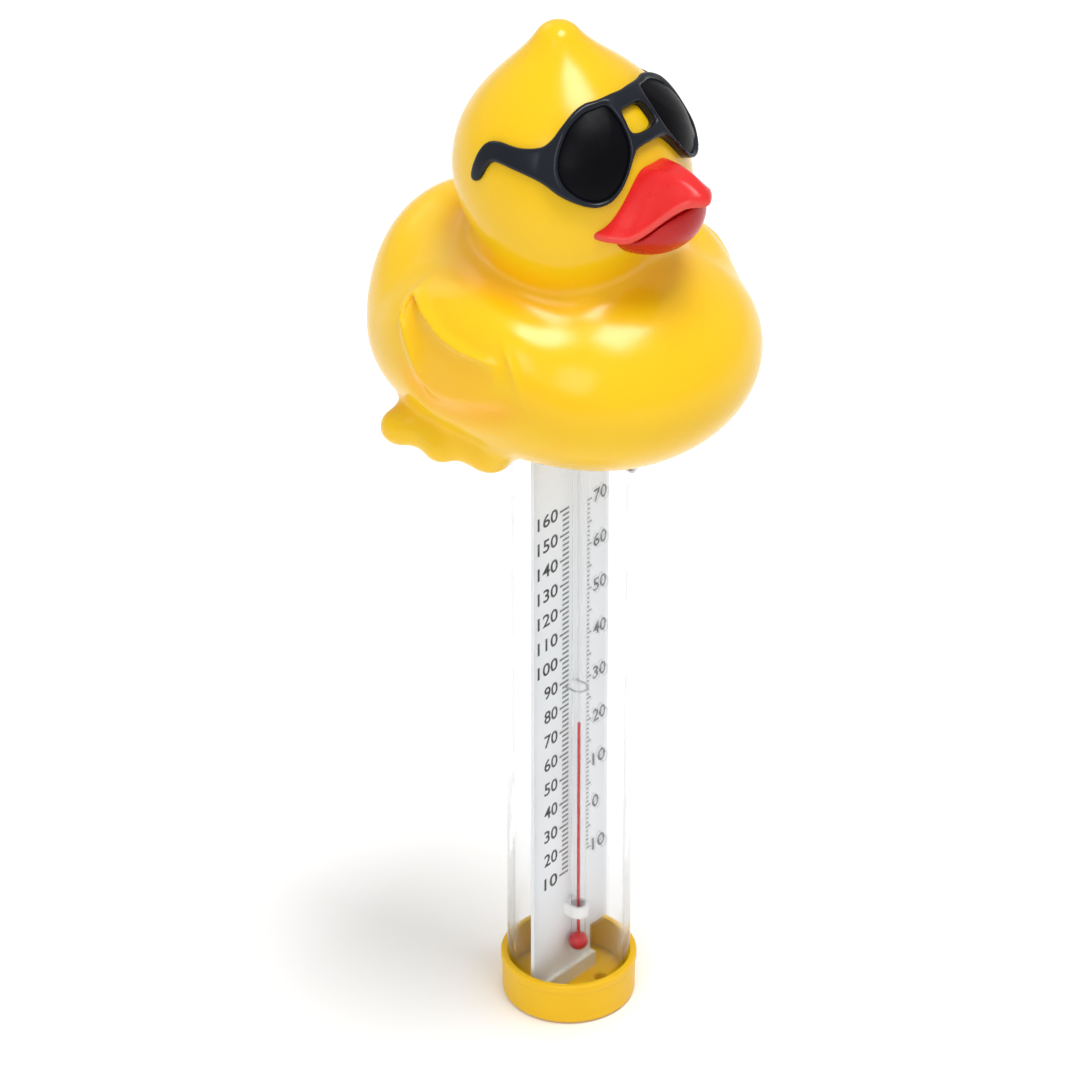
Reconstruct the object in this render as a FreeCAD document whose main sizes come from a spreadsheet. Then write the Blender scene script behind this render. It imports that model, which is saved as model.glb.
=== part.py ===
import FreeCAD, Part
import math
import os
import Sketcher

# Floating pool thermometer: a hollow vinyl duck carries a clear tube that hangs below it.
#
# The tube stands in a yellow base cap and holds a scale card with a glass spirit thermometer.
# Frame: millimetres, +Z up, origin at the centre of the base cap's underside.  The duck and
# the card's printed side both face -Y, and the duck's right side is at -X.

DOC = FreeCAD.newDocument("pool_thermometer")
SHEET = DOC.addObject("Spreadsheet::Sheet", "Dims")

DIMENSIONS = {
    # base cap
    "cap_radius": 15.0,
    "cap_lip_radius": 15.35,
    "cap_height": 10.4,
    "cap_floor": 2.2,
    "cap_lip_height": 1.6,
    "cap_edge_round": 0.8,
    "cap_lip_round": 0.45,
    "drain_radius": 1.6,
    "drain_x": 4.6,
    "drain_y": -5.6,
    # clear tube
    "tube_radius": 13.9,
    "tube_wall": 1.2,
    "tube_top": 163.25,
    "fit_gap": 0.05,
    "vent_radius": 1.25,
    "vent_height": 143.0,
    # scale card and what holds it
    "card_half_width": 12.4,
    "card_thickness": 1.0,
    "card_top": 158.0,
    "card_step_height": 13.2,
    "card_tongue_right": 6.8,
    "card_bottom": 2.9,
    "foot_left": -11.6,
    "foot_right": 7.4,
    "foot_thickness": 3.2,
    "foot_top": 6.0,
    # glass thermometer
    "stem_y": -2.82,
    "stem_radius": 1.65,
    "stem_top": 150.0,
    "bore_radius": 0.42,
    "bore_top": 146.0,
    "spirit_radius": 0.36,
    "bulb_height": 13.7,
    "bulb_radius": 2.25,
    "bulb_wall": 0.4,
    "bulb_neck_top": 17.0,
    "spirit_level": 73.0,
    "clip_height": 21.2,
    "clip_depth": 2.9,
    "clip_wall": 0.6,
    "tie_height": 82.7,
    "tie_wire": 0.2,
    "tie_half_width": 1.95,
    "tie_back": 0.85,
    # top plug, its snap head and the seal
    "plug_bottom": 155.0,
    "plug_head_radius": 14.6,
    "plug_head_height": 4.8,
    "seal_section": 0.9,
    "seal_ring_radius": 13.65,
    "seal_groove_radius": 12.7,
    # float
    "socket_bottom": 150.4,
    "socket_outer": 15.2,
    "socket_chamber": 14.65,
    "socket_chamber_outer": 15.9,
    "socket_top": 169.6,
    "shell_wall": 2.0,
    "head_height": 214.5,
    "head_radius": 24.3,
    "glasses_proud": 1.9,
    "lens_proud": 1.3,
    "eye_y": -16.9,
    "eye_height": 146.4,
    "eye_radius": 2.0,
    "eye_hole": 1.15,
    "eye_thickness": 0.9,
    "eye_shank_radius": 0.55,
    "eye_shank_top": 156.0,
}

# Outer form of the float: centre and half axes of each rounded mass, and its tilt about X.
# Masses marked as paired have a twin on the other side of the duck.
FLOAT_MASSES = (
    ("breast", (0.0, -9.0, 173.0), (35.0, 34.3, 23.6), 0.0, False),
    ("rump", (0.0, 13.0, 173.6), (35.6, 32.0, 23.5), 0.0, False),
    ("tail", (0.0, 32.2, 181.0), (19.0, 13.4, 15.6), -20.0, False),
    ("neck", (0.0, 0.0, 196.0), (22.5, 22.5, 9.0), 0.0, False),
    ("crest", (0.0, 3.5, 235.5), (8.2, 8.2, 11.3), 0.0, False),
    ("wing", (-30.2, 0.0, 181.0), (8.6, 18.0, 11.0), 0.0, True),
    ("toe_rear", (-31.0, 17.0, 159.0), (6.4, 6.4, 4.8), 0.0, True),
    ("toe_middle", (-28.5, 9.5, 156.2), (6.4, 5.4, 4.8), 0.0, True),
    ("toe_front", (-25.0, 1.5, 154.0), (6.0, 5.0, 4.6), 0.0, True),
)

# Front outline of one half of the glasses, from the bridge outwards: (x, z) at the duck's left.
FRAME_TOP_Z = 236.6
FRAME_OUTLINE = (
    (0.0, FRAME_TOP_Z), (8.0, 235.8), (14.5, 233.0), (18.5, 230.0), (23.0, 228.9), (27.5, 228.6),
    (27.5, 224.6), (22.0, 223.6), (19.5, 220.6), (15.5, 218.4), (11.0, 219.6), (7.4, 223.2),
    (5.2, 226.4), (3.6, 228.2), (0.0, 228.7),
)
LENS_OUTLINE = (
    (4.6, 233.6), (8.6, 233.8), (13.6, 231.4), (17.6, 228.4), (19.0, 225.4), (18.2, 222.4),
    (15.2, 220.2), (11.6, 221.2), (8.6, 224.0), (6.2, 228.0),
)
WINDOW_HALF_WIDTH = 2.7
WINDOW_Z = (231.2, 234.2)
TEMPLE_END_Y = 4.0
TEMPLE_TOP_Z = 228.6
HOOK_Z = 218.8
HOOK_WIDTH = 2.6
HOOK_REACH = 8.0

# The bill: centre, half axes and tilt of each half, and the plane of the open mouth, which
# passes through a point (y, z) at its corners and climbs towards the front.
UPPER_BILL = ((0.0, -22.0, 216.6), (15.5, 16.4, 6.4), -10.0)
LOWER_BILL = ((0.0, -21.6, 210.2), (13.2, 13.2, 8.0), 0.0)
MOUTH_HINGE = (-18.0, 210.4)
MOUTH_SLOPE = 24.0
MOUTH_BLOCK = 60.0


def fill_sheet():
    """Write every driving dimension into the sheet, each under its own word."""
    for row, (word, value) in enumerate(DIMENSIONS.items(), start=1):
        SHEET.set("A%d" % row, word)
        SHEET.set("B%d" % row, str(value))
        SHEET.setAlias("B%d" % row, word)
    DOC.recompute()


def size(word):
    """Read a dimension back from the sheet."""
    return float(SHEET.get(word))


def bound(text):
    """Turn dimension words in an expression into references to the sheet."""
    for word in sorted(DIMENSIONS, key=len, reverse=True):
        text = text.replace(word, "<" + word.upper() + ">")
    for word in DIMENSIONS:
        text = text.replace("<" + word.upper() + ">", "Dims." + word)
    return text


def bind(thing, **expressions):
    """Bind properties of a document object to expressions over the sheet."""
    for name, text in expressions.items():
        thing.setExpression(name.replace("__", "."), bound(text))


def primitive(kind, name, at=(0.0, 0.0, 0.0), tilt=0.0, **expressions):
    """Add a Part primitive with bound sizes, placed and tilted about X."""
    thing = DOC.addObject("Part::" + kind, name)
    thing.Placement = FreeCAD.Placement(
        FreeCAD.Vector(*at), FreeCAD.Rotation(FreeCAD.Vector(1, 0, 0), tilt))
    bind(thing, **expressions)
    return thing


def cylinder(name, radius, bottom, height, at_x="0", at_y="0"):
    """A vertical cylinder whose place and sizes all come from the sheet."""
    return primitive(
        "Cylinder", name, Radius=radius, Height=height,
        Placement__Base__x=at_x, Placement__Base__y=at_y, Placement__Base__z=bottom)


def ball(name, centre, half_axes, tilt=0.0):
    """A full ellipsoid with half axes along X, Y and Z."""
    thing = primitive("Ellipsoid", name, at=centre, tilt=tilt)
    thing.Radius2 = half_axes[0]
    thing.Radius3 = half_axes[1]
    thing.Radius1 = half_axes[2]
    thing.Angle1 = -90.0
    thing.Angle2 = 90.0
    return thing


def box(name, low, high):
    """A box between two corners given as expressions."""
    spans = ["(%s)-(%s)" % (top, bottom) for bottom, top in zip(low, high)]
    return primitive(
        "Box", name, Length=spans[0], Width=spans[1], Height=spans[2],
        Placement__Base__x=low[0], Placement__Base__y=low[1], Placement__Base__z=low[2])


def cut(name, base, *tools):
    """Take each tool away from the base in turn."""
    result = base
    for number, tool in enumerate(tools, start=1):
        step = DOC.addObject("Part::Cut", name if number == len(tools) else name + "_cut%d" % number)
        step.Base = result
        step.Tool = tool
        result = step
    return result


def fuse(name, *pieces):
    """Join several pieces into one solid."""
    joined = DOC.addObject("Part::MultiFuse", name)
    joined.Shapes = list(pieces)
    return joined


def new_body(name):
    """A PartDesign body, with its own origin planes."""
    body = DOC.addObject("PartDesign::Body", name)
    body.Label = name
    return body


def plane(body, role):
    """One of the body's origin planes, found by its role."""
    return next(item for item in body.Origin.OriginFeatures if item.Role == role)


def sketch_on(body, name, role):
    """An empty sketch on one of the body's origin planes."""
    sketch = body.newObject("Sketcher::SketchObject", name)
    sketch.AttachmentSupport = (plane(body, role), "")
    sketch.MapMode = "FlatFace"
    return sketch


def outline(sketch, points):
    """Draw a closed outline whose corners are expressions, bound by constraints."""
    values = [tuple(float(DOC.Dims.evalExpression(bound(text))) for text in point) for point in points]
    count = len(points)
    first = sketch.GeometryCount
    for index in range(count):
        start = FreeCAD.Vector(*values[index], 0)
        end = FreeCAD.Vector(*values[(index + 1) % count], 0)
        sketch.addGeometry(Part.LineSegment(start, end))
    for index in range(count):
        following = first + (index + 1) % count
        sketch.addConstraint(Sketcher.Constraint("Coincident", first + index, 2, following, 1))
    for index, point in enumerate(points):
        for kind, text, value in zip(("DistanceX", "DistanceY"), point, values[index]):
            number = sketch.addConstraint(Sketcher.Constraint(kind, -1, 1, first + index, 1, value))
            sketch.setExpression("Constraints[%d]" % number, bound(text))


def circle(sketch, centre, radius):
    """Draw a circle with its centre and radius bound to the sheet."""
    values = [float(DOC.Dims.evalExpression(bound(text))) for text in (*centre, radius)]
    index = sketch.addGeometry(
        Part.Circle(FreeCAD.Vector(values[0], values[1], 0), FreeCAD.Vector(0, 0, 1), values[2]))
    number = sketch.addConstraint(Sketcher.Constraint("Radius", index, values[2]))
    sketch.setExpression("Constraints[%d]" % number, bound(radius))
    for kind, text, value in zip(("DistanceX", "DistanceY"), centre, values):
        number = sketch.addConstraint(Sketcher.Constraint(kind, -1, 1, index, 3, value))
        sketch.setExpression("Constraints[%d]" % number, bound(text))


def turned(body, name, points):
    """Turn a profile, given as (radius, height) expressions, about the body's Z axis."""
    sketch = sketch_on(body, name + "_profile", "XZ_Plane")
    outline(sketch, points)
    revolution = body.newObject("PartDesign::Revolution", name)
    revolution.Profile = sketch
    revolution.ReferenceAxis = (sketch, ["V_Axis"])
    revolution.Angle = 360.0
    DOC.recompute()
    return revolution


def drilled(body, name, role, centre, radius, reverse=False):
    """Pocket a round hole right through, and make sure that it removed material."""
    before = body.Shape.Volume
    sketch = sketch_on(body, name + "_circle", role)
    circle(sketch, centre, radius)
    pocket = body.newObject("PartDesign::Pocket", name)
    pocket.Profile = sketch
    pocket.Type = "ThroughAll"
    pocket.Reversed = reverse
    DOC.recompute()
    if body.Shape.Volume >= before - 1e-6:
        raise RuntimeError(name + " removes nothing")
    return pocket


def rounded(body, name, radius, wanted):
    """Fillet the edges of the body's tip that the test picks out."""
    tip = body.Tip
    edges = ["Edge%d" % number for number, edge in enumerate(tip.Shape.Edges, start=1) if wanted(edge)]
    fillet = body.newObject("PartDesign::Fillet", name)
    fillet.Base = (tip, edges)
    fillet.setExpression("Radius", bound(radius))
    DOC.recompute()
    return fillet


def ring_edge(edge, radius, height):
    """Whether an edge is a circle about Z of the given radius at the given height."""
    curve = edge.Curve
    if not isinstance(curve, Part.Circle):
        return False
    return abs(curve.Radius - radius) < 0.01 and abs(curve.Center.z - height) < 0.01


def make_base_cap():
    """Shallow cup with a thickened lip, and a drain hole in its floor."""
    body = new_body("base_cap")
    inner = "tube_radius+fit_gap"
    turned(body, "cap_wall", (
        ("0", "0"), ("cap_radius", "0"), ("cap_radius+0.1", "cap_height-cap_lip_height-0.6"),
        ("cap_lip_radius", "cap_height-cap_lip_height"), ("cap_lip_radius", "cap_height"),
        (inner, "cap_height"), (inner, "cap_floor"), ("0", "cap_floor")))
    rounded(body, "cap_lip_rounding", "cap_lip_round",
            lambda edge: ring_edge(edge, size("cap_lip_radius"), size("cap_height")))
    rounded(body, "cap_foot_rounding", "cap_edge_round",
            lambda edge: ring_edge(edge, size("cap_radius"), 0.0))
    drilled(body, "cap_drain", "XY_Plane", ("drain_x", "drain_y"), "drain_radius", reverse=True)
    return body


def make_clear_tube():
    """Clear plastic tube, open at both ends, with an air vent below the float at the back."""
    body = new_body("clear_tube")
    inner = "tube_radius-tube_wall"
    turned(body, "tube_wall_turned", (
        (inner, "cap_floor"), ("tube_radius", "cap_floor"),
        ("tube_radius", "tube_top"), (inner, "tube_top")))
    drilled(body, "air_vent", "XZ_Plane", ("0", "vent_height"), "vent_radius")
    return body


def make_scale_card():
    """Printed card on the tube's diameter, with a tongue at its foot and two holes for the tie."""
    body = new_body("scale_card")
    sketch = sketch_on(body, "card_outline", "XZ_Plane")
    outline(sketch, (
        ("-card_half_width", "card_bottom"), ("card_tongue_right", "card_bottom"),
        ("card_tongue_right", "card_step_height"), ("card_half_width", "card_step_height"),
        ("card_half_width", "card_top"), ("-card_half_width", "card_top")))
    for side in ("-", ""):
        circle(sketch, (side + "tie_half_width", "tie_height"), "tie_wire+fit_gap")
    pad = body.newObject("PartDesign::Pad", "card_pad")
    pad.Profile = sketch
    pad.SideType = "Symmetric"
    pad.setExpression("Length", bound("card_thickness"))
    DOC.recompute()
    return body


def make_card_foot():
    """White block at the bottom of the tube, slotted for the card's tongue."""
    body = new_body("card_foot")
    sketch = sketch_on(body, "foot_outline", "XZ_Plane")
    outline(sketch, (
        ("foot_left", "cap_floor+fit_gap"), ("foot_right", "cap_floor+fit_gap"),
        ("foot_right", "foot_top"), ("foot_left", "foot_top")))
    pad = body.newObject("PartDesign::Pad", "foot_pad")
    pad.Profile = sketch
    pad.SideType = "Symmetric"
    pad.setExpression("Length", bound("foot_thickness"))
    DOC.recompute()
    before = body.Shape.Volume
    slot_sketch = sketch_on(body, "slot_outline", "XZ_Plane")
    outline(slot_sketch, (
        ("foot_left-1", "card_bottom"), ("card_tongue_right+fit_gap", "card_bottom"),
        ("card_tongue_right+fit_gap", "foot_top+1"), ("foot_left-1", "foot_top+1")))
    slot = body.newObject("PartDesign::Pocket", "tongue_slot")
    slot.Profile = slot_sketch
    slot.SideType = "Symmetric"
    slot.setExpression("Length", bound("card_thickness+0.02"))
    DOC.recompute()
    if body.Shape.Volume >= before:
        raise RuntimeError("the foot's slot removes nothing")
    return body


def make_tube_top_plug():
    """Plug in the tube's top end, slotted for the card, with a snap head and a seal groove."""
    body = new_body("tube_top_plug")
    inner = "tube_radius-tube_wall"
    groove_middle = "tube_top+plug_head_height/2"
    turned(body, "plug_turned", (
        ("0", "plug_bottom"), (inner, "plug_bottom"), (inner, "tube_top"),
        ("plug_head_radius", "tube_top"), ("plug_head_radius", groove_middle + "-seal_section-fit_gap"),
        ("seal_groove_radius", groove_middle + "-seal_section-fit_gap"),
        ("seal_groove_radius", groove_middle + "+seal_section+fit_gap"),
        ("plug_head_radius", groove_middle + "+seal_section+fit_gap"),
        ("plug_head_radius", "tube_top+plug_head_height"), ("0", "tube_top+plug_head_height")))
    before = body.Shape.Volume
    slot_sketch = sketch_on(body, "card_slot_outline", "XZ_Plane")
    outline(slot_sketch, (
        ("-tube_radius", "plug_bottom-1"), ("tube_radius", "plug_bottom-1"),
        ("tube_radius", "card_top+0.1"), ("-tube_radius", "card_top+0.1")))
    slot = body.newObject("PartDesign::Pocket", "card_slot")
    slot.Profile = slot_sketch
    slot.SideType = "Symmetric"
    slot.setExpression("Length", bound("card_thickness+0.04"))
    DOC.recompute()
    if body.Shape.Volume >= before:
        raise RuntimeError("the plug's slot removes nothing")
    return body


def make_float_socket():
    """Rigid cup bonded into the float; the plug's head snaps behind its inner step and turns."""
    body = new_body("float_socket")
    bore = "tube_radius+fit_gap"
    step = "tube_top-fit_gap"
    turned(body, "socket_turned", (
        (bore, "socket_bottom"), ("socket_outer", "socket_bottom"), ("socket_outer", step + "-1.2"),
        ("socket_chamber_outer", step + "-0.6"), ("socket_chamber_outer", "socket_top"),
        ("0", "socket_top"), ("0", "socket_top-1.2"), ("socket_chamber", "socket_top-1.2"),
        ("socket_chamber", step), (bore, step)))
    return body


def make_glass_stem():
    """Glass thermometer: a bulb and a stem with a fine closed bore."""
    stem = cylinder("stem_rod", "stem_radius", "bulb_height", "stem_top-bulb_height", at_y="stem_y")
    bulb = primitive("Sphere", "bulb_ball", Radius="bulb_radius",
                     Placement__Base__y="stem_y", Placement__Base__z="bulb_height")
    dome = primitive("Sphere", "stem_dome", Radius="stem_radius",
                     Placement__Base__y="stem_y", Placement__Base__z="stem_top")
    outer = fuse("stem_outer", stem, bulb, dome)
    bore = cylinder("stem_bore", "bore_radius", "bulb_height", "bore_top-bulb_height", at_y="stem_y")
    hollow = primitive("Sphere", "bulb_hollow", Radius="bulb_radius-bulb_wall",
                       Placement__Base__y="stem_y", Placement__Base__z="bulb_height")
    return cut("glass_stem", outer, fuse("stem_inside", bore, hollow))


def make_spirit():
    """Red spirit: what fills the bulb, the column that grows, and the column's rounded top."""
    ball_part = primitive("Sphere", "spirit_ball", Radius="bulb_radius-bulb_wall-fit_gap",
                          Placement__Base__y="stem_y", Placement__Base__z="bulb_height")
    neck = cylinder("spirit_neck", "spirit_radius", "bulb_height",
                    "bulb_neck_top-bulb_height", at_y="stem_y")
    column = cylinder("spirit_column", "spirit_radius", "bulb_neck_top",
                      "spirit_level-bulb_neck_top", at_y="stem_y")
    cap = primitive("Sphere", "spirit_cap_ball", Radius="spirit_radius",
                    Placement__Base__y="stem_y", Placement__Base__z="spirit_level")
    below = cylinder("spirit_cap_below", "spirit_radius*2", "spirit_level-1", "1", at_y="stem_y")
    return (fuse("bulb_spirit", ball_part, neck), column, cut("spirit_meniscus", cap, below))


def make_stem_clip():
    """Small white saddle that holds the glass against the card just above the bulb."""
    saddle = cylinder("clip_round", "stem_radius+clip_wall", "clip_height", "clip_depth",
                      at_y="stem_y")
    pad = box("clip_pad", ("-stem_radius-clip_wall", "stem_y", "clip_height"),
              ("stem_radius+clip_wall", "-card_thickness/2", "clip_height+clip_depth"))
    bore = cylinder("clip_bore", "stem_radius+fit_gap/2", "clip_height-1", "clip_depth+2",
                    at_y="stem_y")
    card_side = box("clip_card_side", ("-card_half_width", "-card_thickness/2", "clip_height-1"),
                    ("card_half_width", "card_thickness*2", "clip_height+clip_depth+1"))
    return cut("lower_stem_clip", fuse("clip_block", saddle, pad), bore, card_side)


def make_stem_tie():
    """Closed loop of thin wire round the glass, through two holes in the card."""
    half = size("tie_half_width")
    front = size("stem_y")
    back = size("tie_back")
    height = size("tie_height")
    bend = 4.0 * size("tie_wire")
    at = FreeCAD.Vector
    path = Part.Wire([
        Part.Arc(at(-half, front, height), at(0, front - half, height), at(half, front, height)).toShape(),
        Part.LineSegment(at(half, front, height), at(half, back - bend, height)).toShape(),
        Part.Arc(
            at(half, back - bend, height),
            at(half - bend * (1 - math.sqrt(0.5)), back - bend * (1 - math.sqrt(0.5)), height),
            at(half - bend, back, height)).toShape(),
        Part.LineSegment(at(half - bend, back, height), at(bend - half, back, height)).toShape(),
        Part.Arc(
            at(bend - half, back, height),
            at(bend * (1 - math.sqrt(0.5)) - half, back - bend * (1 - math.sqrt(0.5)), height),
            at(-half, back - bend, height)).toShape(),
        Part.LineSegment(at(-half, back - bend, height), at(-half, front, height)).toShape(),
    ])
    section = Part.Wire(Part.makeCircle(size("tie_wire"), at(-half, front, height), at(0, 1, 0)))
    tie = DOC.addObject("Part::Feature", "stem_wire_tie")
    tie.Shape = path.makePipeShell([section], True, False)
    return tie


def make_seal_ring():
    """Rubber ring in the plug's groove, just clear of the socket's wall."""
    return primitive("Torus", "seal_ring", Radius1="seal_ring_radius", Radius2="seal_section",
                     Placement__Base__z="tube_top+plug_head_height/2")


def float_form(name, inset):
    """The duck's form as one solid, with every mass drawn in by the inset."""
    radius = size("head_radius") - inset
    pieces = [ball(name + "_head", (0.0, 0.0, size("head_height")), (radius, radius, radius))]
    for mass, centre, half_axes, tilt, paired in FLOAT_MASSES:
        if inset and mass.startswith("toe"):
            continue
        smaller = [half - inset for half in half_axes]
        for side in ((1, -1) if paired else (1,)):
            place = (centre[0] * side, centre[1], centre[2])
            label = "%s_%s_%s" % (name, mass, "right" if side == 1 else "left")
            pieces.append(ball(label, place, smaller, tilt))
    return fuse(name, *pieces)


def make_float_shell():
    """Hollow vinyl skin of the duck, open only where the socket enters its belly."""
    skin = cut("float_skin", float_form("form_outer", 0.0), float_form("form_inner", size("shell_wall")))
    mouth = cylinder("belly_opening", "socket_outer", "socket_bottom-10", "20")
    shank = cylinder("eyelet_seat", "eye_shank_radius", "eye_height", "eye_shank_top-eye_height",
                     at_y="eye_y")
    return cut("float_shell", skin, mouth, shank)


def face_prism(points, depth_from, depth_to):
    """Extrude an (x, z) outline along Y between two depths."""
    corners = [FreeCAD.Vector(x, depth_from, z) for x, z in points]
    wire = Part.makePolygon(corners + [corners[0]])
    return Part.Face(wire).extrude(FreeCAD.Vector(0, depth_to - depth_from, 0))


def both_sides(points):
    """Close a half outline with its mirror image."""
    mirrored = [(-x, z) for x, z in reversed(points) if x > 0]
    return list(points) + mirrored


def head_layer(thickness):
    """The skin between the head's surface and a surface that stands proud of it."""
    centre = FreeCAD.Vector(0, 0, size("head_height"))
    outer = Part.makeSphere(size("head_radius") + thickness, centre)
    return outer.cut(Part.makeSphere(size("head_radius"), centre))


def make_glasses():
    """Wrap-round frame that follows the head, with temples and hooks, and its two lenses."""
    reach = size("head_radius") + size("glasses_proud") + 1.0
    front = face_prism(both_sides(FRAME_OUTLINE), -reach, TEMPLE_END_Y)
    hook_height = TEMPLE_TOP_Z - HOOK_Z
    hooks = [
        Part.makeBox(HOOK_REACH, HOOK_WIDTH, hook_height, FreeCAD.Vector(x, TEMPLE_END_Y, HOOK_Z))
        for x in (reach - HOOK_REACH, -reach)]
    window = face_prism(
        [(x, z) for x, z in zip(
            (-WINDOW_HALF_WIDTH, WINDOW_HALF_WIDTH, WINDOW_HALF_WIDTH, -WINDOW_HALF_WIDTH),
            (WINDOW_Z[0], WINDOW_Z[0], WINDOW_Z[1], WINDOW_Z[1]))],
        -reach, 0.0)
    lens_prisms = {
        name: face_prism([(side * x, z) for x, z in LENS_OUTLINE], -reach, 0.0)
        for side, name in ((-1, "right_lens"), (1, "left_lens"))}
    frame_solid = front.fuse(hooks).common(head_layer(size("glasses_proud")))
    for tool in [window, *lens_prisms.values()]:
        frame_solid = frame_solid.cut(tool)
    frame = DOC.addObject("Part::Feature", "sunglasses_frame")
    frame.Shape = frame_solid
    made = [frame]
    for name, prism in lens_prisms.items():
        lens = DOC.addObject("Part::Feature", name)
        lens.Shape = prism.common(head_layer(size("lens_proud")))
        made.append(lens)
    return made


def make_bill(eyewear):
    """Upper bill that lifts towards its tip, and the lower bill inside the open mouth.

    Both are cut back from the head and from the eyewear that rests above them.
    """
    head = Part.makeSphere(size("head_radius"), FreeCAD.Vector(0, 0, size("head_height")))
    above = Part.makeBox(
        MOUTH_BLOCK, MOUTH_BLOCK, MOUTH_BLOCK, FreeCAD.Vector(-MOUTH_BLOCK / 2, -MOUTH_BLOCK, 0))
    above.Placement = FreeCAD.Placement(
        FreeCAD.Vector(0, *MOUTH_HINGE), FreeCAD.Rotation(FreeCAD.Vector(1, 0, 0), -MOUTH_SLOPE))
    bills = []
    for name, (centre, half_axes, tilt), keep_above in (
            ("upper_bill", UPPER_BILL, True), ("lower_bill", LOWER_BILL, False)):
        form = ball(name + "_form", centre, half_axes, tilt)
        DOC.recompute()
        solid = form.Shape.cut([head, *[piece.Shape for piece in eyewear]])
        solid = solid.common(above) if keep_above else solid.cut(above)
        bill = DOC.addObject("Part::Feature", name)
        bill.Shape = solid.Solids[0]
        bills.append(bill)
    return bills


def make_tether_eyelet():
    """Metal eye on a short shank, set into the belly just in front of the tube."""
    disc = primitive("Cylinder", "eye_disc", Radius="eye_radius", Height="eye_thickness")
    hole = primitive("Cylinder", "eye_hole_tool", Radius="eye_hole", Height="eye_thickness*3")
    for thing, offset in ((disc, "-eye_thickness/2"), (hole, "-eye_thickness*1.5")):
        thing.Placement.Rotation = FreeCAD.Rotation(FreeCAD.Vector(0, 1, 0), 90)
        bind(thing, Placement__Base__x=offset, Placement__Base__y="eye_y",
             Placement__Base__z="eye_height")
    shank = cylinder("eye_shank", "eye_shank_radius", "eye_height", "eye_shank_top-eye_height",
                     at_y="eye_y")
    return cut("tether_eyelet", fuse("eye_blank", disc, shank), hole)


def check_and_write(parts):
    """Refuse any failed object or bad shape, then write each sub-part's STEP file."""
    DOC.recompute()
    for thing in DOC.Objects:
        if "Invalid" in thing.State or "Error" in thing.State:
            raise RuntimeError("%s failed: %s" % (thing.Name, thing.State))
    os.makedirs("parts", exist_ok=True)
    for part in parts:
        shape = part.Shape
        if shape.isNull() or not shape.isValid():
            raise RuntimeError(part.Label + " has a bad shape")
        box_now = shape.optimalBoundingBox()
        print("%-18s %2d solid(s) %10.2f mm3  x %.2f..%.2f  y %.2f..%.2f  z %.2f..%.2f" % (
            part.Label, len(shape.Solids), shape.Volume, box_now.XMin, box_now.XMax,
            box_now.YMin, box_now.YMax, box_now.ZMin, box_now.ZMax))
        shape.exportStep("parts/%s.step" % part.Label)


fill_sheet()
EYEWEAR = make_glasses()
SUB_PARTS = [
    make_base_cap(),
    make_clear_tube(),
    make_scale_card(),
    make_card_foot(),
    make_tube_top_plug(),
    make_seal_ring(),
    make_glass_stem(),
    *make_spirit(),
    make_stem_clip(),
    make_stem_tie(),
    make_float_socket(),
    make_float_shell(),
    *EYEWEAR,
    *make_bill(EYEWEAR),
    make_tether_eyelet(),
]
check_and_write(SUB_PARTS)
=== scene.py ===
"""Looks of the floating pool thermometer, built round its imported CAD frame.

Lengths in this script are in millimetres and are scaled to metres when a mesh is made.
The duck and the card face -Y, and the duck's right side is at -X.
"""
import math

import bpy
import numpy as np
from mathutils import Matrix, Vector


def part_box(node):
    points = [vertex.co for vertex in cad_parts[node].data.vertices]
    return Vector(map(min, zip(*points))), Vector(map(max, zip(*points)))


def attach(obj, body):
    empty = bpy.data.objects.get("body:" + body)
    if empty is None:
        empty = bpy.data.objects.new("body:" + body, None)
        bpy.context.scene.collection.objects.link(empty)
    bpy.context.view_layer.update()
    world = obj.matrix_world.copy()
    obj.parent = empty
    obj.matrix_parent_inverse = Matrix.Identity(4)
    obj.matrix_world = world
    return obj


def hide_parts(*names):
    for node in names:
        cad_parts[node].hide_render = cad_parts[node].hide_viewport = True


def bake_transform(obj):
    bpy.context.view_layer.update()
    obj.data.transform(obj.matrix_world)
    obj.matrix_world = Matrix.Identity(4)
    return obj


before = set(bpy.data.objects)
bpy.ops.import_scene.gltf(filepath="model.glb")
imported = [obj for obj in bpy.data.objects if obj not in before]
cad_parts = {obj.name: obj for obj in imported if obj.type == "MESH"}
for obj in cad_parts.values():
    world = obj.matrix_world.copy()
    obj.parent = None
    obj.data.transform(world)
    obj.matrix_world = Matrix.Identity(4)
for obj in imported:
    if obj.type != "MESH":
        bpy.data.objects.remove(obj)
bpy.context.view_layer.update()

MM = 0.001


def box_mm(node):
    """Lowest and highest corners of a CAD node, in millimetres."""
    low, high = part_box(node)
    return np.array(low) / MM, np.array(high) / MM


SHELL_LOW, SHELL_HIGH = box_mm("float_shell")
CARD_LOW = box_mm("scale_card")[0]
SPIRIT_LOW, SPIRIT_HIGH = box_mm("spirit_column")
EYE_LOW, EYE_HIGH = box_mm("tether_eyelet")

# Shared levels of the float, worked out from the frame.
HEAD_Z = SHELL_HIGH[2] - 32.3
BODY_Z = SHELL_LOW[2] + 23.6
GRID_STEP = 0.62


# ---------------------------------------------------------------- distance fields

def turn_x(points, degrees):
    """Points turned about X by an angle."""
    angle = math.radians(degrees)
    c, s = math.cos(angle), math.sin(angle)
    y = points[..., 1] * c - points[..., 2] * s
    z = points[..., 1] * s + points[..., 2] * c
    return np.stack([points[..., 0], y, z], -1)


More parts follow.
